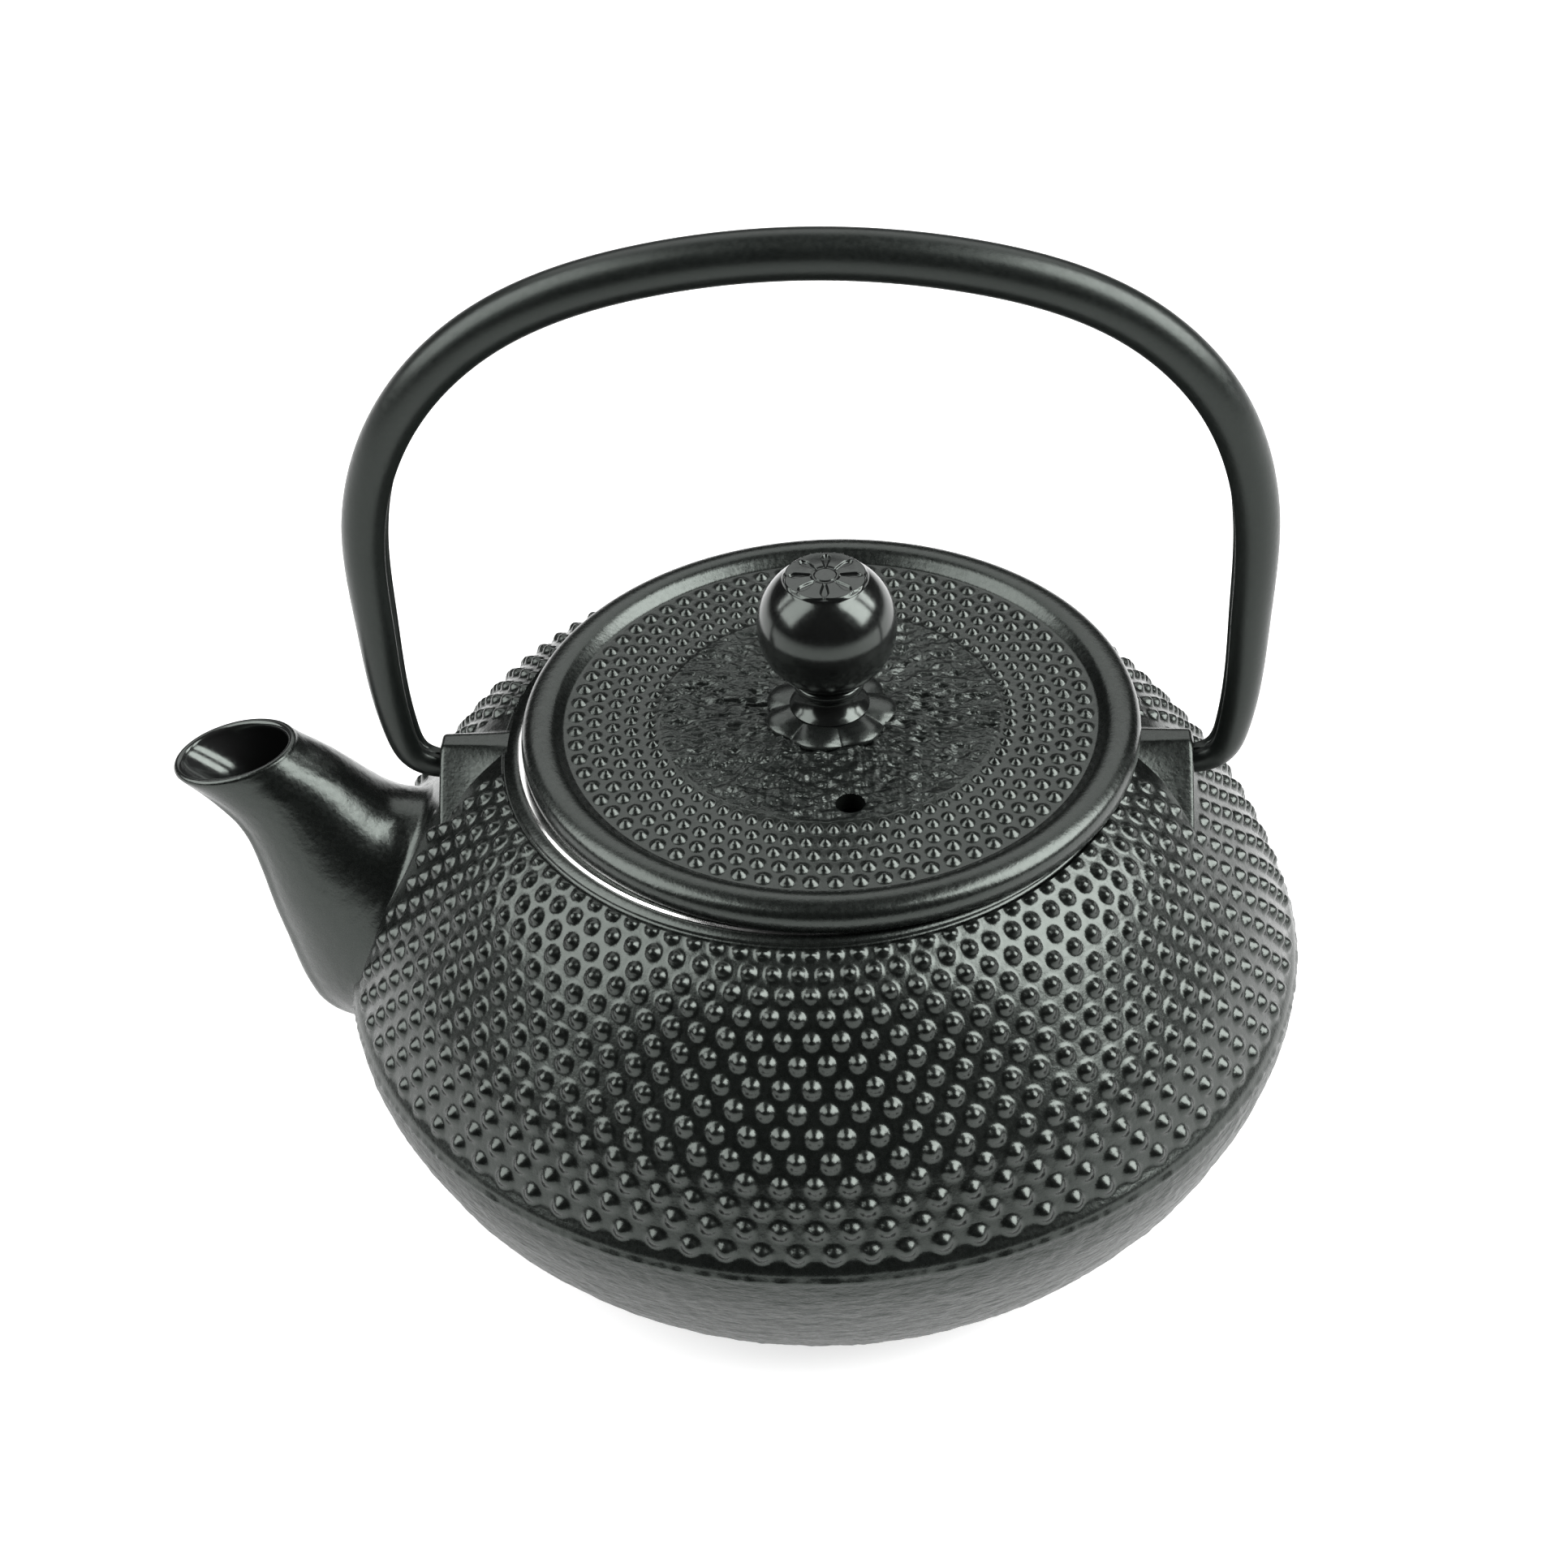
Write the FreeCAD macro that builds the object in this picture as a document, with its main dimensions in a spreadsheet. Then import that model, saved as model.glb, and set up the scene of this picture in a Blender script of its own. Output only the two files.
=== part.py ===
import FreeCAD, Part
import math
import os

import Sketcher

# Cast iron teapot: origin at the centre of the flat base, +Z up, spout towards -X,
# handle pivots on the X axis.  All sizes in millimetres and degrees.

DIMS = {
    # bowl of the pot, outside, as radius and height of each profile point
    "base_rad": 55.0, "foot_rad": 66.4, "foot_hgt": 6.8, "belly_rad": 79.9, "belly_hgt": 35.0,
    "waist_rad": 73.6, "waist_hgt": 51.4, "slope_rad": 60.0, "slope_hgt": 69.8,
    "collar_rad": 50.5, "collar_hgt": 76.7, "collar_step": 0.6,
    "foot_bend": 17.0, "bowl_bend": 60.0, "belly_bend": 33.0, "slope_bend": 150.0, "brow_bend": 26.0,
    # inside of the pot
    "floor_rad": 51.0, "floor_hgt": 3.8, "well_rad": 63.4, "well_hgt": 9.6, "inner_rad": 76.6,
    "inner_hgt": 35.0, "loft_rad": 70.2, "loft_hgt": 50.4, "throat_rad": 57.0, "throat_hgt": 67.3,
    "mouth_rad": 45.8, "mouth_hgt": 72.4,
    "well_bend": 16.0, "bowl_in_bend": 56.0, "belly_in_bend": 30.0, "loft_bend": 150.0, "throat_bend": 30.0,
    "above_mouth": 3.0,
    # ears that carry the handle
    "ear_top_hgt": 76.7, "ear_in": 46.2, "ear_out": 60.6, "ear_ridge": 2.0, "ear_root_in": 7.0,
    "ear_root_out": 13.6, "ear_low_in": 74.8, "ear_low_out": 64.4,
    "hinge_hgt": 71.8, "hinge_hole_rad": 2.9, "hinge_hole_depth": 4.6,
    # handle
    "hook_rad": 2.3, "hook_end": 57.0, "hook_bend_far": 64.6, "hook_bend_hgt": 73.6,
    "arm_low": 66.5, "arm_low_hgt": 78.5, "arm_mid": 67.8, "arm_mid_hgt": 100.0,
    "arm_top": 67.4, "arm_top_hgt": 118.0, "turn_out": 60.6, "turn_hgt": 138.0,
    "arch_out": 46.6, "arch_hgt": 152.3, "crown_out": 23.0, "crown_hgt": 161.2, "top_hgt": 163.5,
    "arch_lean": 1.4, "bar_wide": 7.6, "bar_deep": 7.8, "seam_wide": 3.5, "seam_deep": 3.4,
    # lid
    "lid_shift": 2.6, "lid_shift_back": 0.8, "lid_rad": 49.5, "lid_under": 77.3, "lid_edge": 78.3,
    "lid_side": 80.3, "band_rad": 46.4, "lid_top": 82.2, "field_rad": 42.9, "field_hgt": 80.5,
    "centre_rad": 28.0, "centre_hgt": 80.9, "seat_hgt": 81.4, "seat_flat": 12.0, "edge_in": 0.6,
    "skirt_rad": 35.5, "skirt_in": 33.2, "skirt_low": 70.6, "lid_belly": 77.9, "lid_hub": 78.2,
    "band_bend": 3.6, "band_in_bend": 4.2, "screw_gap": 2.3, "vent_rad": 2.3, "vent_right": 3.7,
    "vent_front": 22.8,
    # knob seat, knob, screw and washer
    "petal_disc": 8.6, "petal_rad": 3.1, "petal_ring": 7.8, "seat_top": 83.0, "petal_count": 8,
    "neck_rad": 6.4, "neck_thin": 4.3, "neck_hgt": 86.4, "ring_rad": 5.75, "ring_hgt": 88.4,
    "ball_rad": 11.0, "ball_hgt": 98.3, "knob_top": 107.8, "flute_in": 1.9, "flute_out": 5.9,
    "flute_bend": 3.0, "flute_deep": 0.5, "thread_rad": 1.95, "thread_top": 97.0, "screw_top": 96.5,
    "head_rad": 4.0, "head_low": 74.8, "washer_rad": 6.0, "washer_low": 77.2,
    # infuser
    "flange_rad": 47.8, "flange_top": 77.3, "neck_out": 41.4, "neck_in": 40.7, "neck_low": 66.0,
    "flange_lip": 0.3, "mesh_thick": 0.5, "mesh_top": 76.0, "mesh_low": 35.2, "cup_low": 34.6,
    "cup_rad": 41.3, "cup_top": 37.0,
}

# Spout sections from the root inside the bowl to the mouth: upper point, lower point and
# half width of the outside, then the wall left around the pouring channel.
SPOUT = (
    ("root", -55.0, 58.0, -71.0, 13.5, 19.5, 4.6),
    ("flare", -64.0, 62.0, -88.2, 26.2, 16.3, 4.0),
    ("throat", -70.5, 64.4, -92.2, 43.2, 13.3, 3.4),
    ("stem", -78.0, 71.4, -95.4, 60.8, 9.5, 2.4),
    ("lip", -84.2, 76.1, -105.0, 72.2, 8.3, 1.5),
)

doc = FreeCAD.newDocument("teapot")
sheet = doc.addObject("Spreadsheet::Sheet", "dims")
for name, upx, upz, lowx, lowz, half, wall in SPOUT:
    DIMS.update({
        name + "_upx": upx, name + "_upz": upz, name + "_lowx": lowx, name + "_lowz": lowz,
        name + "_half": half, name + "_wall": wall,
    })
for row, (alias, value) in enumerate(DIMS.items(), start=1):
    sheet.set("A%d" % row, alias)
    sheet.set("B%d" % row, str(value))
    sheet.setAlias("B%d" % row, alias)
doc.recompute()


def size(spec):
    """Value of a sum of sheet names such as 'lid_rad - edge_in'."""
    total, sign = 0.0, 1.0
    for word in spec.split():
        if word in "+-":
            sign = -1.0 if word == "-" else 1.0
        elif word != "zero":
            total += sign * getattr(sheet, word)
    return total


def formula(spec):
    """The same sum written for the expression engine."""
    return " ".join(word if word in "+-" else "0" if word == "zero" else "dims." + word
                    for word in spec.split())


def plane_of(body, role):
    return next(item for item in body.Origin.OriginFeatures if item.Role == role)


def new_sketch(body, name, role, offset=None):
    sketch = body.newObject("Sketcher::SketchObject", name)
    sketch.AttachmentSupport = [(plane_of(body, role), "")]
    sketch.MapMode = "FlatFace"
    if offset is not None:
        sketch.AttachmentOffset = offset
    return sketch


def hold(sketch, kind, geometry, point, spec):
    """Distance of one sketch point from the origin along one axis, bound to the sheet."""
    value = size(spec)
    first = sketch.addConstraint(Sketcher.Constraint(kind, -1, 1, geometry, point, value))
    sketch.setExpression("Constraints[%d]" % first, formula(spec))


def outline(sketch, points, bends=None):
    """Closed outline through named points; bends gives arcs as {edge: (radius name, side)}."""
    bends = bends or {}
    flat = [FreeCAD.Vector(size(a), size(b), 0) for a, b in points]
    count = len(points)
    for index in range(count):
        start, end = flat[index], flat[(index + 1) % count]
        if index not in bends:
            sketch.addGeometry(Part.LineSegment(start, end), False)
            continue
        radius, side = bends[index]
        chord = end - start
        half = chord.Length / 2
        rise = size(radius) - math.sqrt(size(radius) ** 2 - half ** 2)
        normal = FreeCAD.Vector(chord.y, -chord.x, 0).normalize()
        middle = (start + end) / 2 + normal * (rise * side)
        sketch.addGeometry(Part.Arc(start, middle, end), False)
    ends = []
    for index in range(count):
        item = sketch.Geometry[index]
        start_is_first = (item.StartPoint - flat[index]).Length < 1e-6
        ends.append((1, 2) if start_is_first else (2, 1))
    for index in range(count):
        after = (index + 1) % count
        sketch.addConstraint(Sketcher.Constraint("Coincident", index, ends[index][1], after, ends[after][0]))
    for index, (across, along) in enumerate(points):
        hold(sketch, "DistanceX", index, ends[index][0], across)
        hold(sketch, "DistanceY", index, ends[index][0], along)
        if index in bends:
            number = sketch.addConstraint(Sketcher.Constraint("Radius", index, size(bends[index][0])))
            sketch.setExpression("Constraints[%d]" % number, formula(bends[index][0]))
    return sketch


def new_body(label):
    body = doc.addObject("PartDesign::Body", label)
    body.Label = label
    return body


def revolve(body, name, points, bends=None, kind="PartDesign::Revolution"):
    """Turn an outline of (radius, height) points about the Z axis."""
    sketch = outline(new_sketch(body, name + "_outline", "XZ_Plane"), points, bends)
    doc.recompute()
    turned = body.newObject(kind, name)
    turned.Profile = sketch
    turned.ReferenceAxis = (sketch, ["V_Axis"])
    turned.Angle = 360
    doc.recompute()
    return turned


def round_hole(body, name, role, centre, radius, depth, offset=None, reverse=False, through=False):
    """Circular pocket; centre is a pair of sheet sums."""
    sketch = new_sketch(body, name + "_outline", role, offset)
    spot = FreeCAD.Vector(size(centre[0]), size(centre[1]), 0)
    sketch.addGeometry(Part.Circle(spot, FreeCAD.Vector(0, 0, 1), size(radius)), False)
    number = sketch.addConstraint(Sketcher.Constraint("Radius", 0, size(radius)))
    sketch.setExpression("Constraints[%d]" % number, formula(radius))
    hold(sketch, "DistanceX", 0, 3, centre[0])
    hold(sketch, "DistanceY", 0, 3, centre[1])
    doc.recompute()
    before = body.Shape.Volume
    pocket = body.newObject("PartDesign::Pocket", name)
    pocket.Profile = sketch
    pocket.Reversed = reverse
    if through:
        pocket.Type = "ThroughAll"
        pocket.Midplane = True
    else:
        pocket.setExpression("Length", formula(depth))
    doc.recompute()
    if not body.Shape.Volume < before - 1e-3:
        raise RuntimeError(name + " cuts nothing")
    return pocket


def spout_section(body, name, section, inset):
    """Ellipse on a slanted plane between the upper and the lower point of one spout section."""
    upper = FreeCAD.Vector(size(section + "_upx"), 0, size(section + "_upz"))
    lower = FreeCAD.Vector(size(section + "_lowx"), 0, size(section + "_lowz"))
    down = (lower - upper).normalize()
    across = FreeCAD.Vector(0, 1, 0)
    turn = FreeCAD.Rotation(down, across, down.cross(across), "ZXY")
    place = FreeCAD.Placement((upper + lower) / 2, turn)
    sketch = new_sketch(body, name + "_" + section, "XY_Plane", place)
    long_half = (lower - upper).Length / 2 - inset * size(section + "_wall")
    wide_half = size(section + "_half") - inset * size(section + "_wall")
    count = 12
    ring = []
    for step in range(count):
        angle = 2 * math.pi * step / count
        ring.append(FreeCAD.Vector(long_half * math.cos(angle), wide_half * math.sin(angle), 0))
    curve = Part.BSplineCurve()
    curve.interpolate(Points=ring, PeriodicFlag=True)
    sketch.addGeometry(curve, False)
    return sketch


def loft(body, name, sketches, kind):
    doc.recompute()
    before = body.Shape.Volume
    shape = body.newObject(kind, name)
    shape.Profile = sketches[0]
    shape.Sections = sketches[1:]
    doc.recompute()
    if abs(body.Shape.Volume - before) < 1.0:
        raise RuntimeError(name + " changes nothing")
    return shape


# ---------------------------------------------------------------- pot body
pot = new_body("pot_body")
revolve(pot, "bowl", [
    ("zero", "zero"), ("base_rad", "zero"), ("foot_rad", "foot_hgt"), ("belly_rad", "belly_hgt"),
    ("waist_rad", "waist_hgt"), ("slope_rad", "slope_hgt"), ("collar_rad", "collar_hgt - collar_step"),
    ("collar_rad - collar_step", "collar_hgt"), ("zero", "collar_hgt"),
], {1: ("foot_bend", 1), 2: ("bowl_bend", 1), 3: ("belly_bend", 1), 4: ("slope_bend", 1),
    5: ("brow_bend", 1)})


def ear_section(name, distance, root, low):
    """Ridge-shaped section of an ear at one distance from the axis."""
    place = FreeCAD.Placement(FreeCAD.Vector(0, 0, size(distance)), FreeCAD.Rotation())
    sketch = new_sketch(pot, name, "YZ_Plane", place)
    sketch.setExpression("AttachmentOffset.Base.z", formula(distance))
    return outline(sketch, [
        ("zero - " + root, low), (root, low), ("ear_ridge", "ear_top_hgt"),
        ("zero - ear_ridge", "ear_top_hgt"),
    ])


ear = loft(pot, "ear", [
    ear_section("ear_inner_section", "ear_in", "ear_root_in", "ear_low_in"),
    ear_section("ear_outer_section", "ear_out", "ear_root_out", "ear_low_out"),
], "PartDesign::AdditiveLoft")
ears = pot.newObject("PartDesign::Mirrored", "ears")
ears.Originals = [ear]
ears.MirrorPlane = (plane_of(pot, "YZ_Plane"), [""])
pot.Tip = ears
doc.recompute()

loft(pot, "spout", [spout_section(pot, "spout", row[0], 0) for row in SPOUT],
     "PartDesign::AdditiveLoft")

solid_volume = pot.Shape.Volume
revolve(pot, "cavity", [
    ("zero", "floor_hgt"), ("floor_rad", "floor_hgt"), ("well_rad", "well_hgt"),
    ("inner_rad", "inner_hgt"), ("loft_rad", "loft_hgt"), ("throat_rad", "throat_hgt"),
    ("mouth_rad", "mouth_hgt"), ("mouth_rad", "collar_hgt + above_mouth"),
    ("zero", "collar_hgt + above_mouth"),
], {1: ("well_bend", 1), 2: ("bowl_in_bend", 1), 3: ("belly_in_bend", 1), 4: ("loft_bend", 1),
    5: ("throat_bend", 1)}, "PartDesign::Groove")
if not pot.Shape.Volume < solid_volume - 1000:
    raise RuntimeError("cavity cuts nothing")
loft(pot, "channel", [spout_section(pot, "channel", row[0], 1) for row in SPOUT],
     "PartDesign::SubtractiveLoft")

for side, turned in (("right", False), ("left", True)):
    reach = "ear_out" if side == "right" else "zero - ear_out"
    place = FreeCAD.Placement(FreeCAD.Vector(0, 0, size(reach)), FreeCAD.Rotation())
    round_hole(pot, "hook_hole_" + side, "YZ_Plane", ("zero", "hinge_hgt"), "hinge_hole_rad",
               "hinge_hole_depth", place, turned)

# ---------------------------------------------------------------- lid
lid = new_body("lid")
revolve(lid, "lid_casting", [
    ("screw_gap", "lid_hub"), ("seat_flat", "lid_hub"), ("skirt_in", "lid_belly"),
    ("skirt_in", "skirt_low"), ("skirt_rad", "skirt_low"), ("skirt_rad", "lid_under"),
    ("lid_rad - edge_in", "lid_under"), ("lid_rad", "lid_edge"), ("lid_rad", "lid_side"),
    ("band_rad", "lid_top"), ("field_rad", "field_hgt"), ("centre_rad", "centre_hgt"),
    ("seat_flat", "seat_hgt"), ("screw_gap", "seat_hgt"),
], {8: ("band_bend", 1), 9: ("band_in_bend", 1)})
round_hole(lid, "vent", "XY_Plane", ("vent_right", "zero - vent_front"), "vent_rad", "lid_top",
           through=True)

# ---------------------------------------------------------------- knob parts
seat = new_body("knob_seat")
revolve(seat, "seat_disc", [
    ("screw_gap", "seat_hgt"), ("petal_disc", "seat_hgt"), ("petal_disc", "seat_top"),
    ("screw_gap", "seat_top"),
])
petal_sketch = new_sketch(seat, "petal_outline", "XY_Plane",
                          FreeCAD.Placement(FreeCAD.Vector(0, 0, size("seat_hgt")), FreeCAD.Rotation()))
petal_sketch.addGeometry(Part.Circle(FreeCAD.Vector(size("petal_ring"), 0, 0),
                                     FreeCAD.Vector(0, 0, 1), size("petal_rad")), False)
petal_radius = petal_sketch.addConstraint(Sketcher.Constraint("Radius", 0, size("petal_rad")))
petal_sketch.setExpression("Constraints[%d]" % petal_radius, "dims.petal_rad")
hold(petal_sketch, "DistanceX", 0, 3, "petal_ring")
hold(petal_sketch, "DistanceY", 0, 3, "zero")
doc.recompute()
petal = seat.newObject("PartDesign::Pad", "petal")
petal.Profile = petal_sketch
petal.setExpression("Length", formula("seat_top - seat_hgt"))
doc.recompute()
petals = seat.newObject("PartDesign::PolarPattern", "petals")
petals.Originals = [petal]
petals.Axis = (plane_of(seat, "Z_Axis"), [""])
petals.Angle = 360
petals.setExpression("Occurrences", "dims.petal_count")
seat.Tip = petals
doc.recompute()

knob = new_body("lid_knob")
low_cut = math.sqrt(size("ball_rad") ** 2 - (size("ball_hgt") - size("ring_hgt")) ** 2)
top_cut = math.sqrt(size("ball_rad") ** 2 - (size("knob_top") - size("ball_hgt")) ** 2)
last_row = len(DIMS)
for step, (alias, value) in enumerate((("ball_low_rad", low_cut), ("ball_top_rad", top_cut)), 1):
    sheet.set("A%d" % (last_row + step), alias)
    sheet.set("B%d" % (last_row + step), "%.6f" % value)
    sheet.setAlias("B%d" % (last_row + step), alias)
doc.recompute()
revolve(knob, "knob_turning", [
    ("thread_rad", "seat_top"), ("neck_rad", "seat_top"), ("neck_thin", "neck_hgt"),
    ("ring_rad", "neck_hgt"), ("ring_rad", "ring_hgt"), ("ball_low_rad", "ring_hgt"),
    ("ball_rad", "ball_hgt"), ("ball_top_rad", "knob_top"), ("zero", "knob_top"),
    ("zero", "thread_top"), ("thread_rad", "thread_top"),
], {5: ("ball_rad", 1), 6: ("ball_rad", 1)})
flute_sketch = new_sketch(knob, "flute_outline", "XY_Plane",
                          FreeCAD.Placement(FreeCAD.Vector(0, 0, size("knob_top")), FreeCAD.Rotation()))
outline(flute_sketch, [("flute_in", "zero"), ("flute_out", "zero")],
        {0: ("flute_bend", 1), 1: ("flute_bend", 1)})
doc.recompute()
plain_knob = knob.Shape.Volume
flute = knob.newObject("PartDesign::Pocket", "flute")
flute.Profile = flute_sketch
flute.setExpression("Length", "dims.flute_deep")
doc.recompute()
if not knob.Shape.Volume < plain_knob - 1e-3:
    raise RuntimeError("flute cuts nothing")
flutes = knob.newObject("PartDesign::PolarPattern", "flutes")
flutes.Originals = [flute]
flutes.Axis = (plane_of(knob, "Z_Axis"), [""])
flutes.Angle = 360
flutes.setExpression("Occurrences", "dims.petal_count")
knob.Tip = flutes
doc.recompute()

washer = new_body("knob_washer")
revolve(washer, "washer_ring", [
    ("screw_gap", "washer_low"), ("washer_rad", "washer_low"), ("washer_rad", "lid_hub"),
    ("screw_gap", "lid_hub"),
])
screw = new_body("knob_screw")
revolve(screw, "screw_turning", [
    ("zero", "head_low"), ("head_rad", "head_low"), ("head_rad", "washer_low"),
    ("thread_rad", "washer_low"), ("thread_rad", "screw_top"), ("zero", "screw_top"),
])
for item in (lid, seat, knob, washer, screw):
    item.setExpression("Placement.Base.x", "dims.lid_shift")
    item.setExpression("Placement.Base.y", "dims.lid_shift_back")

# ---------------------------------------------------------------- infuser
rim = new_body("infuser_rim")
revolve(rim, "rim_pressing", [
    ("neck_in", "neck_low"), ("neck_out", "neck_low"), ("neck_out", "collar_hgt"),
    ("flange_rad", "collar_hgt"), ("flange_rad", "flange_top - flange_lip"),
    ("flange_rad - flange_lip", "flange_top"), ("neck_in", "flange_top"),
])
wall = new_body("infuser_wall")
revolve(wall, "mesh_tube", [
    ("neck_in - mesh_thick", "mesh_low"), ("neck_in", "mesh_low"), ("neck_in", "mesh_top"),
    ("neck_in - mesh_thick", "mesh_top"),
])
cup = new_body("infuser_base")
revolve(cup, "cup_pressing", [
    ("zero", "cup_low"), ("cup_rad", "cup_low"), ("cup_rad", "cup_top"), ("neck_in", "cup_top"),
    ("neck_in", "mesh_low"), ("zero", "mesh_low"),
])


# ---------------------------------------------------------------- handle
def handle_path():
    """Bent centreline of the bail from the left hook over the top to the right hook."""
    half = [
        ("hook_end", "hinge_hgt", 0.0), ("ear_out", "hinge_hgt", 0.0),
        ("hook_bend_far", "hook_bend_hgt", 0.0), ("arm_low", "arm_low_hgt", 0.0),
        ("arm_mid", "arm_mid_hgt", 0.0), ("arm_top", "arm_top_hgt", 0.1),
        ("turn_out", "turn_hgt", 0.6), ("arch_out", "arch_hgt", 0.95), ("crown_out", "crown_hgt", 1.0),
    ]
    lean = size("arch_lean")
    right = [FreeCAD.Vector(size(x) + lean * share, 0, size(z)) for x, z, share in half]
    left = [FreeCAD.Vector(-size(x) + lean * share, 0, size(z)) for x, z, share in half]
    crown = FreeCAD.Vector(lean, 0, size("top_hgt"))
    curve = Part.BSplineCurve()
    curve.interpolate(left + [crown] + right[::-1])
    return curve


def bar_section(centre, inward, blend):
    """C-shaped bar section; blend 0 is the round hook, 1 the full rolled bar."""
    side = FreeCAD.Vector(0, 1, 0)
    wide = size("hook_rad") + (size("bar_wide") / 2 - size("hook_rad")) * blend
    deep = size("hook_rad") + (size("bar_deep") / 2 - size("hook_rad")) * blend
    slot = size("seam_wide") / 2 * blend
    seam = math.radians(12 + 24 * blend)
    ring = []
    steps = 20
    for step in range(steps):
        angle = seam + (2 * math.pi - 2 * seam) * step / (steps - 1)
        ring.append(centre + inward * (deep * math.cos(angle)) + side * (wide * math.sin(angle)))
    if blend > 0.02:
        floor = deep - size("seam_deep") * blend
        ring += [centre + inward * (deep * 0.78) - side * slot, centre + inward * floor - side * slot,
                 centre + inward * floor + side * slot, centre + inward * (deep * 0.78) + side * slot]
    else:
        ring += [centre + inward * deep - side * 0.35, centre + inward * deep - side * 0.12,
                 centre + inward * deep + side * 0.12, centre + inward * deep + side * 0.35]
    return Part.makePolygon(ring + [ring[0]])


path = handle_path()
middle = FreeCAD.Vector(0, 0, size("arm_mid_hgt"))
stations = 49
sections = []
for index in range(stations):
    where = path.FirstParameter + (path.LastParameter - path.FirstParameter) * index / (stations - 1)
    centre = path.value(where)
    along = path.tangent(where)[0]
    inward = along.cross(FreeCAD.Vector(0, 1, 0))
    inward.normalize()
    if inward.dot(middle - centre) < 0:
        inward = -inward
    rise = (centre.z - size("hinge_hgt")) / (size("arm_top_hgt") - size("hinge_hgt"))
    sections.append(bar_section(centre, inward, max(0.0, min(1.0, rise)) ** 0.5))
handle = doc.addObject("Part::Feature", "bail_handle")
handle.Label = "bail_handle"
handle.Shape = Part.makeLoft(sections, True, True)
handle.Placement = FreeCAD.Placement()
doc.recompute()

# ---------------------------------------------------------------- checks and export
for item in doc.Objects:
    if "Invalid" in item.State or "Error" in item.State:
        raise RuntimeError("%s did not recompute: %s" % (item.Name, item.State))

NODES = (pot, lid, seat, knob, washer, screw, rim, wall, cup, handle)
os.makedirs("parts", exist_ok=True)
for item in NODES:
    shape = item.Shape
    if shape.isNull() or not shape.isValid() or shape.Volume <= 0:
        raise RuntimeError(item.Label + " has no valid shape")
    shape.exportStep("parts/%s.step" % item.Label)
    box = shape.optimalBoundingBox(False)
    print("%-14s solids %d volume %.0f  x %.1f..%.1f y %.1f..%.1f z %.1f..%.1f" % (
        item.Label, len(shape.Solids), shape.Volume, box.XMin, box.XMax, box.YMin, box.YMax,
        box.ZMin, box.ZMax))
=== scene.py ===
import math

import bpy
import numpy as np
from mathutils import Matrix, Vector


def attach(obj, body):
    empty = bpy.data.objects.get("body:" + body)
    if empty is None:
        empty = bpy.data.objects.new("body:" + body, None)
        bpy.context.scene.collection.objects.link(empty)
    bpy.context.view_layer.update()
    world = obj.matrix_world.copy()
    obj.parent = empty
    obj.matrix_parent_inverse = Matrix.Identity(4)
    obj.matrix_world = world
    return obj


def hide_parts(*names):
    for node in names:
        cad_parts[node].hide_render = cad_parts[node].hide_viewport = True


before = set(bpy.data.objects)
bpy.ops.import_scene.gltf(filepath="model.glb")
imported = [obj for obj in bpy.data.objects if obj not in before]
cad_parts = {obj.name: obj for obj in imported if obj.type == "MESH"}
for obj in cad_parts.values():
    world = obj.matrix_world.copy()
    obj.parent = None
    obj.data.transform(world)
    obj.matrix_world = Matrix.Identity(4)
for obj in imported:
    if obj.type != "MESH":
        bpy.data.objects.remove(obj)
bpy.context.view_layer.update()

# Lengths of the pieces are in millimetres in the row frame, and are written to the meshes in
# metres. Noise scales, bump distances, the floor, the lights and the camera are in metres.
HINGE_Z = 71.8
LID_X, LID_Y = 2.6, 0.8
VENT, VENT_RAD = (3.7, -22.8), 2.3
TAU = 2 * math.pi


# ---------------------------------------------------------------- mesh helpers
def smooth(low, high, value):
    t = np.clip((value - low) / (high - low), 0.0, 1.0)
    return t * t * (3 - 2 * t)


def lattice_noise(x, y, seed, size=64):
    """Smooth repeatable noise between -1 and 1."""
    table = np.random.RandomState(seed).rand(size, size) * 2 - 1
    xi, yi = np.floor(x).astype(int), np.floor(y).astype(int)
    fx, fy = x - xi, y - yi
    fx, fy = fx * fx * (3 - 2 * fx), fy * fy * (3 - 2 * fy)
    a, b = table[xi % size, yi % size], table[(xi + 1) % size, yi % size]
    c, d = table[xi % size, (yi + 1) % size], table[(xi + 1) % size, (yi + 1) % size]
    return (a * (1 - fx) + b * fx) * (1 - fy) + (c * (1 - fx) + d * fx) * fy


def spline(points, count):
    """Natural cubic spline through the points, sampled evenly along its length."""
    pts = np.array(points, float)
    knots = np.concatenate([[0], np.cumsum(np.linalg.norm(np.diff(pts, axis=0), axis=1))])
    n, h = len(pts), np.diff(knots)
    system, right = np.eye(n), np.zeros_like(pts)
    for i in range(1, n - 1):
        system[i, i - 1:i + 2] = h[i - 1], 2 * (h[i - 1] + h[i]), h[i]
        right[i] = 6 * ((pts[i + 1] - pts[i]) / h[i] - (pts[i] - pts[i - 1]) / h[i - 1])
    bend = np.linalg.solve(system, right)

    def at(t):
        i = np.clip(np.searchsorted(knots, t) - 1, 0, n - 2)
        a, b, w = (knots[i + 1] - t)[:, None], (t - knots[i])[:, None], h[i][:, None]
        return (bend[i] * a ** 3 + bend[i + 1] * b ** 3) / (6 * w) + \
            (pts[i] / w - bend[i] * w / 6) * a + (pts[i + 1] / w - bend[i + 1] * w / 6) * b

    fine = at(np.linspace(0, knots[-1], 4000))
    run = np.concatenate([[0], np.cumsum(np.linalg.norm(np.diff(fine, axis=0), axis=1))])
    want = np.linspace(0, run[-1], count)
    return np.stack([np.interp(want, run, fine[:, k]) for k in range(pts.shape[1])], axis=1)


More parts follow.
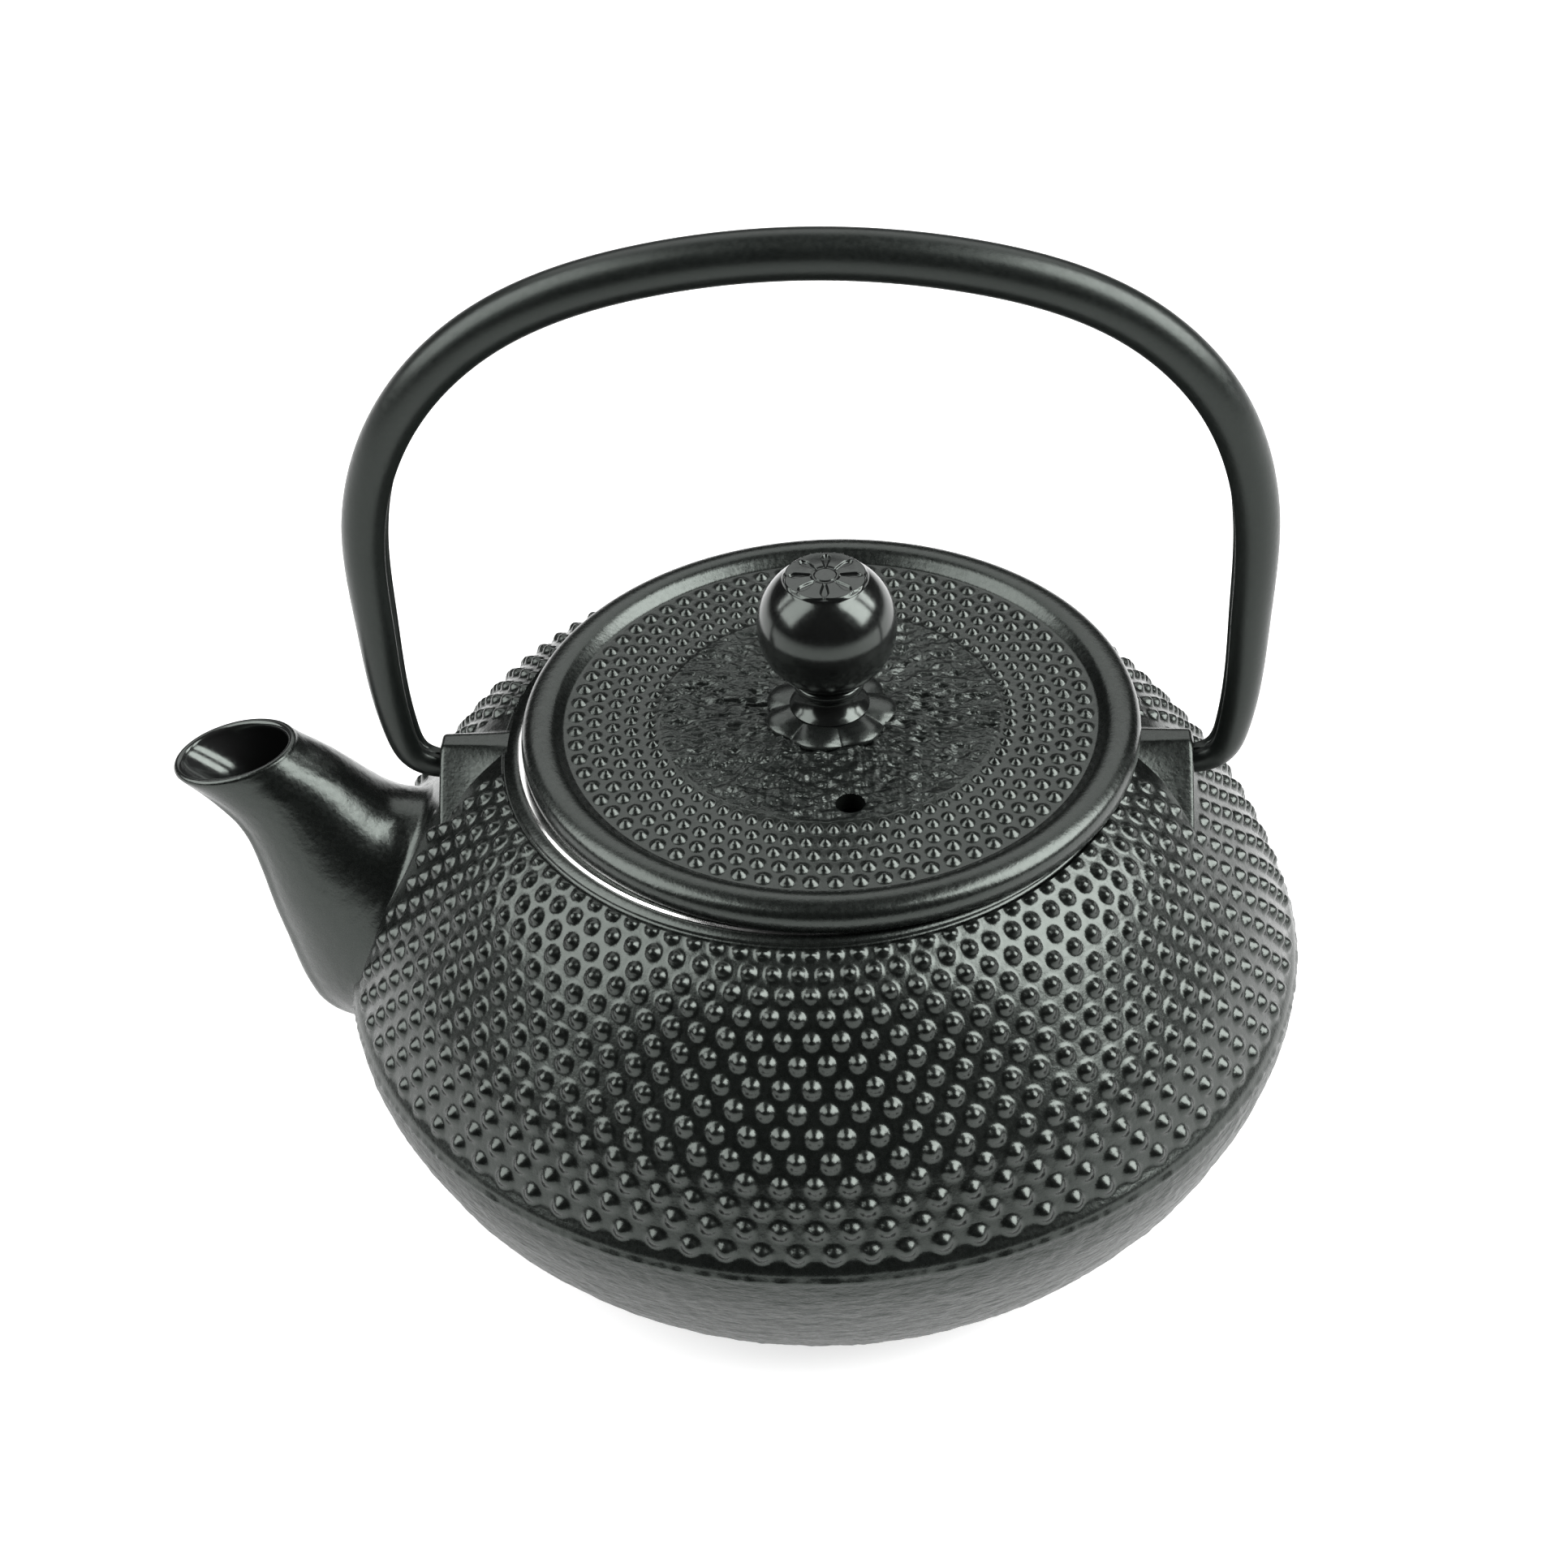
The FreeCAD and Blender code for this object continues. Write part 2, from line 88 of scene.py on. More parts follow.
def arc(start, end, radius, count):
    """Points of a bulging arc from start to end, both ends included."""
    start, end = np.array(start, float), np.array(end, float)
    chord = end - start
    half = np.linalg.norm(chord) / 2
    out = np.array([chord[1], -chord[0]]) / (2 * half)
    deep = math.sqrt(radius ** 2 - half ** 2)
    centre = (start + end) / 2 - out * deep
    swing = math.asin(half / radius)
    along = chord / (2 * half)
    turn = np.linspace(-swing, swing, count)[:, None]
    return centre + out * radius * np.cos(turn) + along * radius * np.sin(turn)


def path(*runs):
    """One run of points from several, with doubled points dropped."""
    joined = np.concatenate([np.atleast_2d(np.array(r, float)) for r in runs])
    keep = np.concatenate([[True], np.linalg.norm(np.diff(joined, axis=0), axis=1) > 1e-6])
    return joined[keep]


def side_normals(rz):
    """Outward normals of a run of (radius, height) points that goes down outside."""
    t = np.gradient(rz, axis=0)
    t /= np.linalg.norm(t, axis=1)[:, None]
    return np.stack([-t[:, 1], t[:, 0]], axis=1)


def turned(radius, height, angles, centre=(0.0, 0.0)):
    """Grid of points from radius and height, as one run or as a full grid."""
    rad = radius if radius.ndim == 2 else np.repeat(radius[:, None], len(angles), 1)
    hgt = height if height.ndim == 2 else np.repeat(height[:, None], len(angles), 1)
    return np.stack([centre[0] + rad * np.cos(angles), centre[1] + rad * np.sin(angles), hgt], axis=2)


def quads(rows, cols, wrap=True):
    span = cols if wrap else cols - 1
    r, c = np.meshgrid(np.arange(rows - 1), np.arange(span), indexing="ij")
    r, c, after = r.ravel(), c.ravel(), ((c + 1) % cols).ravel()
    return np.stack([r * cols + c, (r + 1) * cols + c, (r + 1) * cols + after, r * cols + after], axis=1)


class Shell:
    """Collects vertices and faces of one piece."""

    def __init__(self):
        self.verts, self.faces, self.slots, self.count = [], [], [], 0

    def add(self, points, faces, slot=0):
        start = self.count
        pts = np.asarray(points, float).reshape(-1, 3)
        self.verts.append(pts)
        self.link(np.asarray(faces) + start, slot)
        self.count += len(pts)
        return start

    def link(self, faces, slot=0):
        self.faces += faces.tolist()
        self.slots += [slot] * len(faces) if np.isscalar(slot) else list(slot)

    def grid(self, points, slot=0, wrap=True, flip=False, keep=None):
        rows, cols = points.shape[:2]
        found = quads(rows, cols, wrap)
        if keep is not None:
            found = found[keep(points.reshape(-1, 3)[found].reshape(-1, 4, 3))]
        if not np.isscalar(slot):
            slot = slot[found[:, 0]]
        return self.add(points, found[:, ::-1] if flip else found, slot)

    def fan(self, ring, centre, slot=0, flip=False):
        """Closes a ring of vertex numbers with one point."""
        ring = np.asarray(ring)
        middle = self.count
        self.verts.append(np.array([centre], float))
        self.count += 1
        tri = np.stack([ring, np.full(len(ring), middle), np.roll(ring, -1)], axis=1)
        self.link(tri[:, ::-1] if flip else tri, slot)

    def step(self, fine, coarse, slot=0, flip=False):
        """Joins a fine ring to the coarse ring after it, whose count divides the fine one."""
        ratio, half = len(fine) // len(coarse), len(fine) // len(coarse) // 2
        tri = []
        for k in range(len(coarse)):
            here, after = coarse[k], coarse[(k + 1) % len(coarse)]
            for i in range(ratio):
                a, b = fine[(k * ratio + i) % len(fine)], fine[(k * ratio + i + 1) % len(fine)]
                tri.append((a, here if i < half else after, b))
            tri.append((fine[(k * ratio + half) % len(fine)], here, after))
        tri = np.array(tri)
        self.link(tri[:, ::-1] if flip else tri, slot)

    def make(self, name, materials, body, slot, *nodes):
        mesh = bpy.data.meshes.new(name)
        mesh.from_pydata((np.concatenate(self.verts) * 0.001).tolist(), [], self.faces)
        mesh.polygons.foreach_set("material_index", self.slots)
        mesh.polygons.foreach_set("use_smooth", [True] * len(self.faces))
        for item in materials:
            mesh.materials.append(item)
        mesh.update()
        piece = bpy.data.objects.new(name, mesh)
        bpy.context.scene.collection.objects.link(piece)
        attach(piece, body)
        if nodes:
            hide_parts(*nodes)
        return piece


# ---------------------------------------------------------------- materials
def new_material(name):
    mat = bpy.data.materials.new(name)
    mat.use_nodes = True
    tree = mat.node_tree
    shader = tree.nodes["Principled BSDF"]
    where = tree.nodes.new("ShaderNodeTexCoord")
    return mat, tree, shader, where


def noise_node(tree, where, scale, stretch=(1, 1, 1), detail=4.0, rough=0.55):
    place = tree.nodes.new("ShaderNodeMapping")
    place.inputs["Scale"].default_value = stretch
    tree.links.new(where.outputs["Object"], place.inputs["Vector"])
    node = tree.nodes.new("ShaderNodeTexNoise")
    node.inputs["Scale"].default_value = scale
    node.inputs["Detail"].default_value = detail
    node.inputs["Roughness"].default_value = rough
    tree.links.new(place.outputs["Vector"], node.inputs["Vector"])
    return node.outputs["Fac"]


def spread(tree, factor, low, high, start=0.3, end=0.7):
    node = tree.nodes.new("ShaderNodeMapRange")
    node.inputs["From Min"].default_value = start
    node.inputs["From Max"].default_value = end
    node.inputs["To Min"].default_value = low
    node.inputs["To Max"].default_value = high
    tree.links.new(factor, node.inputs["Value"])
    return node.outputs["Result"]


def tint(tree, factor, dark, light, start=0.3, end=0.7):
    ramp = tree.nodes.new("ShaderNodeValToRGB")
    ramp.color_ramp.elements[0].position = start
    ramp.color_ramp.elements[1].position = end
    ramp.color_ramp.elements[0].color = (*dark, 1)
    ramp.color_ramp.elements[1].color = (*light, 1)
    tree.links.new(factor, ramp.inputs["Fac"])
    return ramp.outputs["Color"]


def relief(tree, shader, layers):
    """Chains bumps of (height, strength, distance in metres) into the shader."""
    last = None
    for height, strength, distance in layers:
        node = tree.nodes.new("ShaderNodeBump")
        node.inputs["Strength"].default_value = strength
        node.inputs["Distance"].default_value = distance
        tree.links.new(height, node.inputs["Height"])
        if last is not None:
            tree.links.new(last, node.inputs["Normal"])
        last = node.outputs["Normal"]
    tree.links.new(last, shader.inputs["Normal"])


def cast_paint(name, dark, light, low, high, layers, specular=0.5):
    mat, tree, shader, where = new_material(name)
    broad = noise_node(tree, where, 60, detail=5)
    fine = noise_node(tree, where, 1300, detail=3)
    tree.links.new(tint(tree, broad, dark, light), shader.inputs["Base Color"])
    tree.links.new(spread(tree, fine, low, high), shader.inputs["Roughness"])
    shader.inputs["Specular IOR Level"].default_value = specular
    shader.inputs["Specular Tint"].default_value = (0.90, 1.0, 0.93, 1)
    made = [(noise_node(tree, where, scale, stretch, detail), strength, distance)
            for scale, stretch, detail, strength, distance in layers]
    relief(tree, shader, made)
    return mat


IRON = cast_paint("satin_iron", (0.0014, 0.0017, 0.0015), (0.0030, 0.0036, 0.0032), 0.23, 0.31, [
    (420, (1, 1, 1), 3, 0.26, 0.00020), (1700, (1, 1, 1), 3, 0.34, 0.00008)])
BOWL = cast_paint("cast_bowl", (0.0022, 0.0026, 0.0024), (0.0060, 0.0068, 0.0064), 0.32, 0.45, [
    (230, (1, 1, 3.0), 5, 0.85, 0.00085), (1000, (1, 1, 1.6), 4, 0.65, 0.00022)])
LEATHER = cast_paint("wrinkled_iron", (0.0018, 0.0022, 0.0020), (0.0040, 0.0047, 0.0043), 0.27, 0.37, [
    (430, (0.55, 1.1, 1), 4, 1.0, 0.00075), (1500, (1, 1, 1), 3, 0.5, 0.00010)])
BAR = cast_paint("satin_bar", (0.0022, 0.0027, 0.0025), (0.0045, 0.0054, 0.0050), 0.29, 0.38, [
    (260, (1, 1, 1), 3, 0.16, 0.00018), (1500, (1, 1, 1), 2, 0.25, 0.00005)], 0.34)
ENAMEL = cast_paint("gloss_enamel", (0.006, 0.0062, 0.0062), (0.011, 0.0114, 0.0114), 0.12, 0.20, [
    (190, (1, 1, 1), 2, 0.16, 0.00025)])
SATIN = cast_paint("satin_seat", (0.0030, 0.0034, 0.0032), (0.0055, 0.0062, 0.0058), 0.24, 0.32, [
    (420, (1, 1, 1), 3, 0.25, 0.00020), (1700, (1, 1, 1), 3, 0.3, 0.00006)])
GLOSS = cast_paint("gloss_knob", (0.0025, 0.0027, 0.0026), (0.0045, 0.0048, 0.0047), 0.15, 0.22, [
    (210, (1, 1, 1), 2, 0.10, 0.00016), (1900, (1, 1, 1), 2, 0.12, 0.00003)])


def steel_material(name, low, high):
    mat, tree, shader, where = new_material(name)
    streak = noise_node(tree, where, 260, (1, 1, 9), detail=5)
    cloud = noise_node(tree, where, 90, detail=3)
    tree.links.new(tint(tree, cloud, (0.60, 0.60, 0.59), (0.78, 0.78, 0.77)), shader.inputs["Base Color"])
    tree.links.new(spread(tree, streak, low, high), shader.inputs["Roughness"])
    shader.inputs["Metallic"].default_value = 1.0
    relief(tree, shader, [(streak, 0.12, 0.00006)])
    return mat


STEEL = steel_material("bright_steel", 0.18, 0.32)
FINE_STEEL = steel_material("polished_steel", 0.14, 0.24)

# ---------------------------------------------------------------- pot casting
# Line over the tops of the bosses, then down the smooth lower bowl.
CROWN_LINE = [
    (50.5, 77.0), (55.6, 73.9), (60.0, 69.8), (63.8, 65.1), (67.3, 60.3), (70.9, 55.5), (74.1, 50.4),
    (76.6, 44.9), (78.7, 39.4), (79.55, 33.5), (78.4, 27.7), (76.3, 22.1), (73.8, 16.7), (70.6, 11.7),
    (66.9, 6.9), (62.0, 2.5), (55.0, 0.0),
]
BOSS_ROWS = [
    (51.2, 76.6), (54.1, 75.0), (56.8, 72.9), (59.2, 70.6), (61.5, 68.0), (63.7, 65.3), (65.7, 62.4),
    (67.8, 59.6), (70.0, 56.7), (72.1, 53.7), (74.0, 50.6), (75.6, 47.2), (77.0, 43.8), (78.6, 40.3),
]
BOSSES = 90
RISE = 0.9

line = spline(CROWN_LINE, 3000)
sunk = line - side_normals(line) * (RISE * smooth(36.8, 39.6, line[:, 1]))[:, None]
length = np.concatenate([[0], np.cumsum(np.linalg.norm(np.diff(sunk, axis=0), axis=1))])
field_end = length[np.argmin(abs(sunk[:, 1] - 35.0))]
stops = np.concatenate([np.linspace(0, field_end, 124), np.linspace(field_end, length[-1], 60)[1:]])
wall = np.stack([np.interp(stops, length, sunk[:, k]) for k in (0, 1)], axis=1)
wall_out = side_normals(wall)


def wall_radius(height):
    return np.interp(height, wall[::-1, 1], wall[::-1, 0])


COLS = 1080
WIDEST = 79.84
BEAD_Z = 36.0
BORE_Z = 47.0
turn = np.arange(COLS) * TAU / COLS
around, down = np.meshgrid(turn, stops)
raise_by = np.zeros_like(around)
shake = np.random.RandomState(7)
for number, (row_rad, row_hgt) in enumerate(BOSS_ROWS):
    share = number / (len(BOSS_ROWS) - 1)
    spot = length[np.argmin(np.hypot(sunk[:, 0] - row_rad, sunk[:, 1] - row_hgt))]
    half, high = 1.28 + 0.42 * share, 0.84 + 0.2 * share
    start = math.radians(-87 if number % 2 else -85)
    slot_of = np.round((around - start) * BOSSES / TAU).astype(int)
    pick = slot_of % BOSSES
    vary = shake.rand(3, BOSSES)
    away = (around - start - slot_of * TAU / BOSSES) * row_rad + (vary[0][pick] - 0.5) * 0.22
    fall = down - spot + (vary[1][pick] - 0.5) * 0.2
    near = np.clip((away ** 2 + fall ** 2) / (half * (0.95 + 0.1 * vary[2][pick])) ** 2, 0, 1)
    raise_by += high * (1 - near) ** 1.15

tall = wall[:, 1][:, None]
across = wall[:, 0][:, None] * np.sin(turn)
forward = wall[:, 0][:, None] * np.cos(turn)
root_gap = np.hypot(across / 17.2, (tall - 41.4) / 24.0)
calm = np.where(forward < 0, smooth(1.0, 1.12, root_gap), 1.0)
ear_side = np.abs(across) - np.interp(np.abs(forward), [46, 62], [6.4, 10.5])
calm *= np.where(np.abs(forward) > 44, np.where(tall > 66.0, smooth(0.0, 1.1, ear_side), 1.0), 1.0)
raise_by *= calm * smooth(0.0, 1.3, down)
bead = 0.48 * np.exp(-((tall - BEAD_Z) / 0.42) ** 2)
bead = bead * (0.75 + 0.5 * lattice_noise(around * 90, tall * 0.6, 3))
skin = 0.10 * lattice_noise(around * 34, down * 0.42, 5) + 0.07 * lattice_noise(around * 80, down * 0.9, 11)
skin *= smooth(37.0, 33.0, tall)
lift = raise_by + np.where(forward < 0, bead * smooth(1.0, 1.12, root_gap), bead) + skin
outer_r = np.minimum(wall[:, 0][:, None] + wall_out[:, 0][:, None] * lift, WIDEST)
outer_z = np.maximum(wall[:, 1][:, None] + wall_out[:, 1][:, None] * lift, 0.0)
outer = turned(outer_r, outer_z, turn)

collar = path([(46.4, 76.7), (49.5, 76.7)], arc((49.5, 76.7), (50.25, 76.1), 0.62, 6))
collar_grid = turned(collar[:, 0], collar[:, 1], turn)


def in_bore(points):
    """Keeps faces that lie outside the spout's bore."""
    x, y, z = points[..., 0], points[..., 1], points[..., 2]
    inside = (x < 0) & (np.hypot(y / 10.8, (z - BORE_Z) / 12.6) < 1)
    return ~inside.all(axis=1)


pot = Shell()
shade = np.where(outer_z.ravel() < 36.2, 1, 0)
full = np.concatenate([collar_grid, outer])
shade = np.concatenate([np.zeros(collar_grid.size // 3, int), shade])
top = pot.grid(full, slot=shade, keep=in_bore)
last_ring = top + (len(full) - 1) * COLS + np.arange(COLS)
pot.fan(last_ring, (0, 0, 0), slot=1)

lining = path(
    [(0.6, 3.8)], np.stack([np.linspace(4, 51, 12), np.full(12, 3.8)], axis=1),
    arc((51.0, 3.8), (63.4, 9.6), 16.0, 9), arc((63.4, 9.6), (76.6, 35.0), 56.0, 22),
    arc((76.6, 35.0), (70.2, 50.4), 30.0, 14), arc((70.2, 50.4), (57.0, 67.3), 150.0, 16),
    arc((57.0, 67.3), (45.8, 72.4), 30.0, 12), [(45.8, 73.5), (45.8, 76.2), (45.95, 76.5)])
IN_COLS = 180
in_turn = np.arange(IN_COLS) * TAU / IN_COLS
inside = pot.grid(turned(lining[:, 0], lining[:, 1], in_turn), slot=2, keep=in_bore)
pot.fan(inside + np.arange(IN_COLS), (0, 0, 3.8), slot=2, flip=True)
mouth_ring = inside + (len(lining) - 1) * IN_COLS + np.arange(IN_COLS)
pot.step(top + np.arange(COLS), mouth_ring, flip=True)

# Spout: a skin that leaves the bowl along its surface and flows into the tube.
TUBE = [
    ((-65.4, 63.2), (-87.3, 25.2), 15.6, 4.0), ((-70.4, 64.4), (-91.9, 43.5), 13.3, 3.4),
    ((-78.0, 71.6), (-95.7, 61.8), 9.4, 2.3), ((-84.35, 76.05), (-104.75, 72.3), 8.15, 1.35),
]
RING = 144
roll = np.arange(RING) * TAU / RING


def tube_ring(row, inset, grow=0.0):
    upper, lower, wide, thick = row
    upper, lower = np.array(upper), np.array(lower)
    middle, reach = (upper + lower) / 2, np.linalg.norm(lower - upper) / 2
    fall = (lower - upper) / (2 * reach)
    long_half, wide_half = reach - thick * inset + grow, wide - thick * inset + grow
    run = middle - fall * (np.cos(roll) * long_half)[:, None]
    return np.stack([run[:, 0], wide_half * np.sin(roll), run[:, 1]], axis=1)


def print_ring(wide, tall_half, middle, radius_at, shift):
    y, z = wide * np.sin(roll), middle + tall_half * np.cos(roll)
    return np.stack([-np.sqrt(radius_at(z) ** 2 - y ** 2) + shift, y, z], axis=1)


def lining_radius(height):
    return np.interp(height, lining[20:, 1], lining[20:, 0])


def hermite(a, b, ta, tb, count):
    t = np.linspace(0, 1, count)[:, None, None]
    return (2 * t ** 3 - 3 * t ** 2 + 1) * a + (t ** 3 - 2 * t ** 2 + t) * ta + \
        (3 * t ** 2 - 2 * t ** 3) * b + (t ** 3 - t ** 2) * tb


foot = print_ring(16.6, 23.2, 41.4, wall_radius, 0.4)
rings = [tube_ring(row, 0) for row in TUBE]
knots = [foot] + rings
slopes = [(rings[0] - foot) * 0.85] + [(knots[k + 1] - knots[k - 1]) * 0.5 for k in (1, 2, 3)]
slopes.append((rings[3] - rings[2]) * 0.9)
body_run = np.concatenate([
    hermite(knots[k], knots[k + 1], slopes[k], slopes[k + 1], count)[min(k, 1):]
    for k, count in enumerate((16, 22, 22, 20))])
steps = len(body_run)
low_side = np.abs(roll - math.pi)
keel = np.exp(-((low_side - 0.70) / 0.085) ** 2) - 1.3 * smooth(0.66, 0.30, low_side)
ramp = (smooth(0, 14, np.arange(steps)) * smooth(steps - 1, steps - 16, np.arange(steps)))[:, None]
swell = 0.42 * keel[None, :] * ramp
swell += 0.03 * lattice_noise(roll[None, :] * 14, np.arange(steps)[:, None] * 0.5, 21) * ramp
near_lip = np.arange(steps)[:, None] - (steps - 1)
swell += 0.22 * np.exp(-(near_lip / 4.0) ** 2)
along_run, around_run = np.gradient(body_run, axis=0), np.roll(body_run, -1, 1) - np.roll(body_run, 1, 1)
facing = np.cross(along_run, around_run)
facing /= np.maximum(np.linalg.norm(facing, axis=2), 1e-9)[..., None]
hub = body_run.mean(axis=1, keepdims=True)
facing *= np.sign(((body_run - hub) * facing).sum(axis=2, keepdims=True).sum(axis=1, keepdims=True))
body_run = body_run + facing * swell[..., None]

lip_up = np.array([-0.1882, 0.0, 0.9821])
outer_lip, inner_lip = body_run[-1], tube_ring(TUBE[3], 1)
roll_over = []
for beta in np.linspace(0, math.pi, 11)[1:]:
    mix = (1 - math.cos(beta)) / 2
    roll_over.append(outer_lip * (1 - mix) + inner_lip * mix + lip_up * 0.7 * math.sin(beta))
roll_over = np.array(roll_over)
bore = [tube_ring(TUBE[2], 1), tube_ring(TUBE[1], 1),
        print_ring(11.2, 13.0, BORE_Z, lining_radius, 0.5)]
b0, b1, b2 = (bore[0] - inner_lip) * 0.9, (bore[1] - inner_lip) * 0.5, (bore[2] - bore[0]) * 0.5
channel = np.concatenate([
    hermite(inner_lip, bore[0], b0, b1, 12)[1:], hermite(bore[0], bore[1], b1, b2, 12)[1:],
    hermite(bore[1], bore[2], b2, (bore[2] - bore[1]) * 0.9, 12)[1:]])
spout_grid = np.concatenate([body_run, roll_over, channel])
spout_slot = np.concatenate([
    np.zeros(steps * RING, int), np.zeros(3 * RING, int),
    np.full((len(roll_over) - 3 + len(channel)) * RING, 2)])


def outward(points):
    """True if the grid's faces point away from its middle line."""
    a, b = points[1, 0] - points[0, 0], points[0, 1] - points[0, 0]
    return np.dot(np.cross(a, b), points[0, 0] - points[0].mean(axis=0)) > 0


pot.grid(spout_grid, slot=spout_slot, flip=not outward(body_run[steps // 2:]))

# Ears: ridged lugs with a blind round hole for the hook.
EAR_FACE, EAR_ROUND = 59.7, 0.8
EAR_STOPS = np.concatenate([
    np.linspace(47.2, EAR_FACE, 16),
    EAR_FACE + EAR_ROUND * np.sin(np.linspace(0, 1, 7)[1:] * math.pi / 2)])
HALF_PTS = 28


def ear_outline(distance):
    share = (distance - 46.2) / (60.6 - 46.2)
    root, low = 7.0 + 6.6 * share, 74.8 - 10.4 * share
    over = max(0.0, distance - EAR_FACE) / EAR_ROUND
    tuck = EAR_ROUND * (1 - math.sqrt(max(0.0, 1 - over ** 2)))
    high = 76.66 - tuck
    bow = np.linspace(0, 1, HALF_PTS)
    y = 1.1 + (root - tuck * 0.8 - 1.1) * bow
    drop = (high - low) * (y - 1.1) / (root - tuck * 0.8 - 1.1)
    z = high - np.sqrt(drop ** 2 + 0.35) + 0.59 + 0.25 * np.sin(math.pi * bow)
    z = np.minimum(z, high)
    right = np.stack([y, z], axis=1)
    flat = np.stack([np.linspace(-1.1, 1.1, 6)[1:-1], np.full(4, high)], axis=1)
    floor_y = np.linspace(root - tuck, -(root - tuck), 12)[1:-1]
    floor_run = np.stack([floor_y, np.full(10, z[-1])], axis=1)
    mirror = right[::-1] * (-1, 1)
    return np.concatenate([flat, right, floor_run, mirror])


for sign in (1, -1):
    grid = []
    for stop in EAR_STOPS:
        shape = ear_outline(stop)
        grid.append(np.stack([np.full(len(shape), sign * stop), shape[:, 0], shape[:, 1]], axis=1))
    end = grid[-1]
    reach = np.arctan2(end[:, 2] - HINGE_Z, end[:, 1])
    hole = []
    for radius, depth in ((3.15, 0.0), (2.95, 0.12), (2.88, 0.4), (2.88, 4.5)):
        hole.append(np.stack([np.full(len(end), sign * (60.5 - depth)), radius * np.cos(reach),
                              HINGE_Z + radius * np.sin(reach)], axis=1))
    grid = np.array(grid + hole)
    flip = not outward(grid[:4])
    start = pot.grid(grid, flip=flip)
    tail = start + (len(grid) - 1) * len(end) + np.arange(len(end))
    pot.fan(tail, (sign * 56.0, 0, HINGE_Z), flip=flip)

pot.make("pot_casting", [IRON, BOWL, ENAMEL], "pot", "black_iron", "pot_body")

# ---------------------------------------------------------------- lid casting
LID_COLS, UNDER_COLS = 840, 420
lid_turn, under_turn = np.arange(LID_COLS) * TAU / LID_COLS, np.arange(UNDER_COLS) * TAU / UNDER_COLS
crest = path(
    [(0.6, 81.4), (6.0, 81.4)], [(r, 81.4 - 0.3 * smooth(9.0, 26.0, r)) for r in np.linspace(6.2, 27.2, 50)],
    [(r, 81.1 - 0.45 * smooth(27.0, 29.0, r) - 0.35 * (r - 27) / 16) for r in np.linspace(27.4, 42.6, 54)],
    spline([(42.7, 80.32), (43.4, 80.9), (44.4, 81.75), (46.0, 82.17), (47.6, 81.95), (48.9, 81.2),
            (49.45, 80.1), (49.45, 78.5), (49.2, 77.8), (48.6, 77.3)], 30))
angle, rad = np.meshgrid(lid_turn, crest[:, 0])
lid_bump = np.zeros_like(angle)
for number, row_rad in enumerate((28.9, 31.9, 34.8, 37.8, 40.8)):
    start = (number % 2) * math.pi / 70
    slot_of = np.round((angle - start) * 70 / TAU).astype(int)
    vary = shake.rand(2, 70)
    away = (angle - start - slot_of * TAU / 70) * row_rad + (vary[0][slot_of % 70] - 0.5) * 0.16
    size = 0.92 + 0.36 * number / 4
    near = np.clip((away ** 2 + (rad - row_rad) ** 2) / size ** 2, 0, 1)
    lid_bump += 0.88 * (0.92 + 0.16 * vary[1][slot_of % 70]) * (1 - near) ** 1.15
flat_x, flat_y = rad * np.cos(angle), rad * np.sin(angle)
crease = np.abs(lattice_noise(flat_x * 0.34 + 9, flat_y * 0.8, 31)) * 0.80 + \
    np.abs(lattice_noise(flat_x * 0.75, flat_y * 1.3 + 5, 37)) * 0.42
lid_bump += (0.36 - crease) * smooth(27.6, 26.4, rad) * smooth(7.0, 9.0, rad)
vent_gap = np.hypot(flat_x - VENT[0], flat_y - VENT[1])
lid_bump = lid_bump * smooth(2.3, 3.4, vent_gap) - 0.28 * smooth(2.95, 2.3, vent_gap)
is_top = (np.arange(len(crest)) < len(crest) - 12)[:, None]
top_grid = turned(crest[:, 0], crest[:, 1][:, None] + lid_bump * is_top, lid_turn)

belly = path(
    [(48.6, 77.3), (44.0, 77.3), (35.5, 77.3)], [(35.5, 76.0), (35.5, 71.1), (35.1, 70.6), (33.6, 70.6),
     (33.2, 71.1), (33.2, 77.5)],
    [(r, 77.9 + 0.3 * (33.2 - r) / 21) for r in np.linspace(32.8, 12.0, 60)],
    [(11.0, 78.2), (6.0, 78.2), (2.3, 78.2)])
belly_grid = turned(belly[:, 0], belly[:, 1], under_turn)


def punch(grid, centre, radius):
    """Moves the points beside a round hole on to its edge; returns the faces to drop."""
    gap = np.hypot(grid[..., 0] - centre[0], grid[..., 1] - centre[1])
    rim = np.abs(gap - radius) < 0.24
    scale = np.where(rim, radius / np.maximum(gap, 1e-6), 1.0)
    grid[..., 0] = centre[0] + (grid[..., 0] - centre[0]) * scale
    grid[..., 1] = centre[1] + (grid[..., 1] - centre[1]) * scale

    def keep(points):
        middle = points.mean(axis=1)
        return np.hypot(middle[:, 0] - centre[0], middle[:, 1] - centre[1]) > radius - 0.02
    return keep


lid = Shell()
keep_top = punch(top_grid, VENT, VENT_RAD)
keep_low = punch(belly_grid, VENT, VENT_RAD)
lid_slot = np.where(crest[:, 0] < 27.0, 1, 0).repeat(LID_COLS)
first = lid.grid(top_grid, slot=lid_slot, keep=keep_top)
lid.fan(first + np.arange(LID_COLS), (0, 0, 81.4), slot=1, flip=True)
edge = first + (len(crest) - 1) * LID_COLS + np.arange(LID_COLS)
under = lid.grid(belly_grid[1:], slot=2, keep=keep_low)
lid.step(edge, under + np.arange(UNDER_COLS), slot=0)
bore_turn = np.arange(96) * TAU / 96
bore_z = np.array([80.92, 80.7, 80.2, 79.0, 78.04])
pipe = turned(np.full(5, VENT_RAD), bore_z, bore_turn, VENT)
lid.grid(pipe, slot=0, flip=True)
for block in lid.verts:
    block[:, 0] += LID_X
    block[:, 1] += LID_Y
